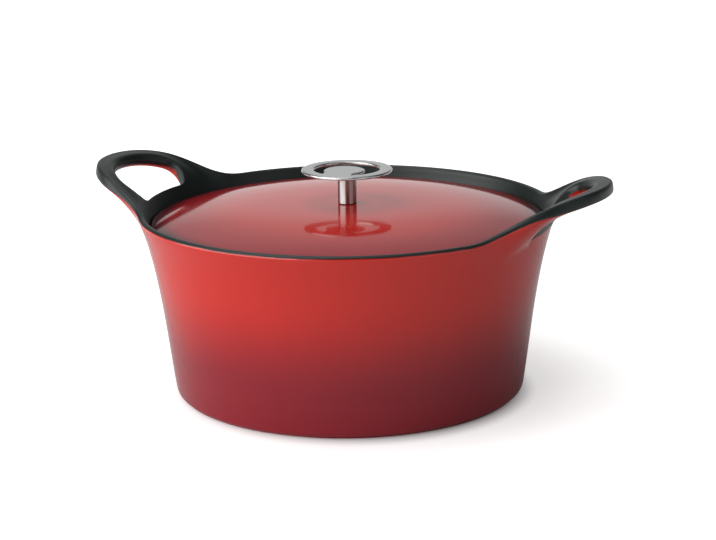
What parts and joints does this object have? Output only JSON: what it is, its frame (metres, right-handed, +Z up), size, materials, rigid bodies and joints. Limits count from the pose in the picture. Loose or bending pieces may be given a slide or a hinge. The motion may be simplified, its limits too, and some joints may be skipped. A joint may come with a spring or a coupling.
{
  "type": "dutch oven",
  "caption": "Round enamelled cast-iron pot with a flared rim drawn out into upswept loop handles, a domed lid recessed inside the rim, and a steel ring knob on a stem.",
  "frame": {"origin": "centre of the flat base, on the surface that the pot stands on", "axes": "+Z up along the pot's axis, +X from the axis to one loop handle, +Y to the rim midway between the handles"},
  "size_m": [0.3326, 0.26, 0.1388],
  "materials": {
    "pot_enamel": "gloss",
    "lid_enamel": "gloss",
    "knob_steel": "satin",
    "stem_steel": "polished",
    "gasket_rubber": "matte",
    "fixing_steel": "satin"
  },
  "bodies": {
    "pot": {"pot": "pot_enamel"},
    "lid": {"lid": "lid_enamel", "knob_ring": "knob_steel", "knob_stem": "stem_steel", "stem_gasket": "gasket_rubber", "flat_washer": "fixing_steel", "lock_washer": "fixing_steel", "knob_screw": "fixing_steel"}
  },
  "joints": [
    {"name": "lid_lift", "type": "slide", "parent": "pot", "child": "lid", "axis": [0, 0, 1], "range_m": [0, 0.15]}
  ]
}
